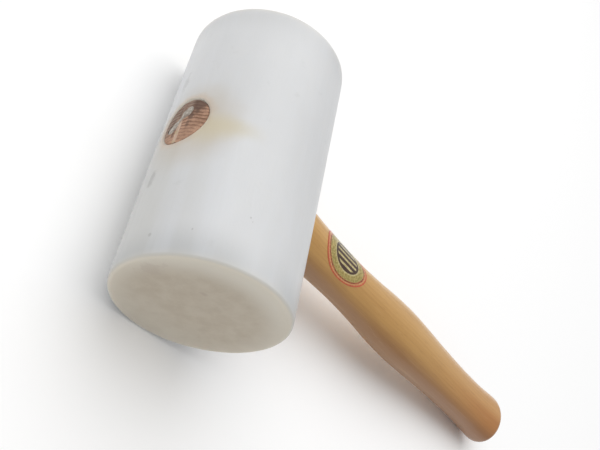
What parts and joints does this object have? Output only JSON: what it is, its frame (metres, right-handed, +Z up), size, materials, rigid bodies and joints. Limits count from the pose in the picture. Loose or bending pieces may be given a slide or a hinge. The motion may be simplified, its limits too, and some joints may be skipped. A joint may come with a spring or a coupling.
{
  "type": "mallet",
  "caption": "Mallet with a wide cylindrical translucent plastic head on a waisted hardwood handle, wedged through a round eye.",
  "frame": {"origin": "bottom centre of the bounding box, on the surface that the mallet lies on", "axes": "+X along the head to the front striking face, +Y along the handle to its butt, +Z up from the surface; the handle dips 5 degrees so that its butt also touches the surface"},
  "size_m": [0.14, 0.3134, 0.076],
  "materials": {
    "head_plastic": "milky translucent moulded plastic, satin, scuffed on the striking faces",
    "handle_wood": "pale tan close-grained hardwood under clear satin lacquer",
    "wedge_wood": "bare sawn end grain",
    "wedge_steel": "bare dull steel, hammered flush",
    "label_film": null
  },
  "bodies": {
    "root": {"head": "head_plastic", "handle": "handle_wood", "timber_wedge": "wedge_wood", "steel_wedge": "wedge_steel", "maker_label": "label_film"}
  },
  "joints": []
}
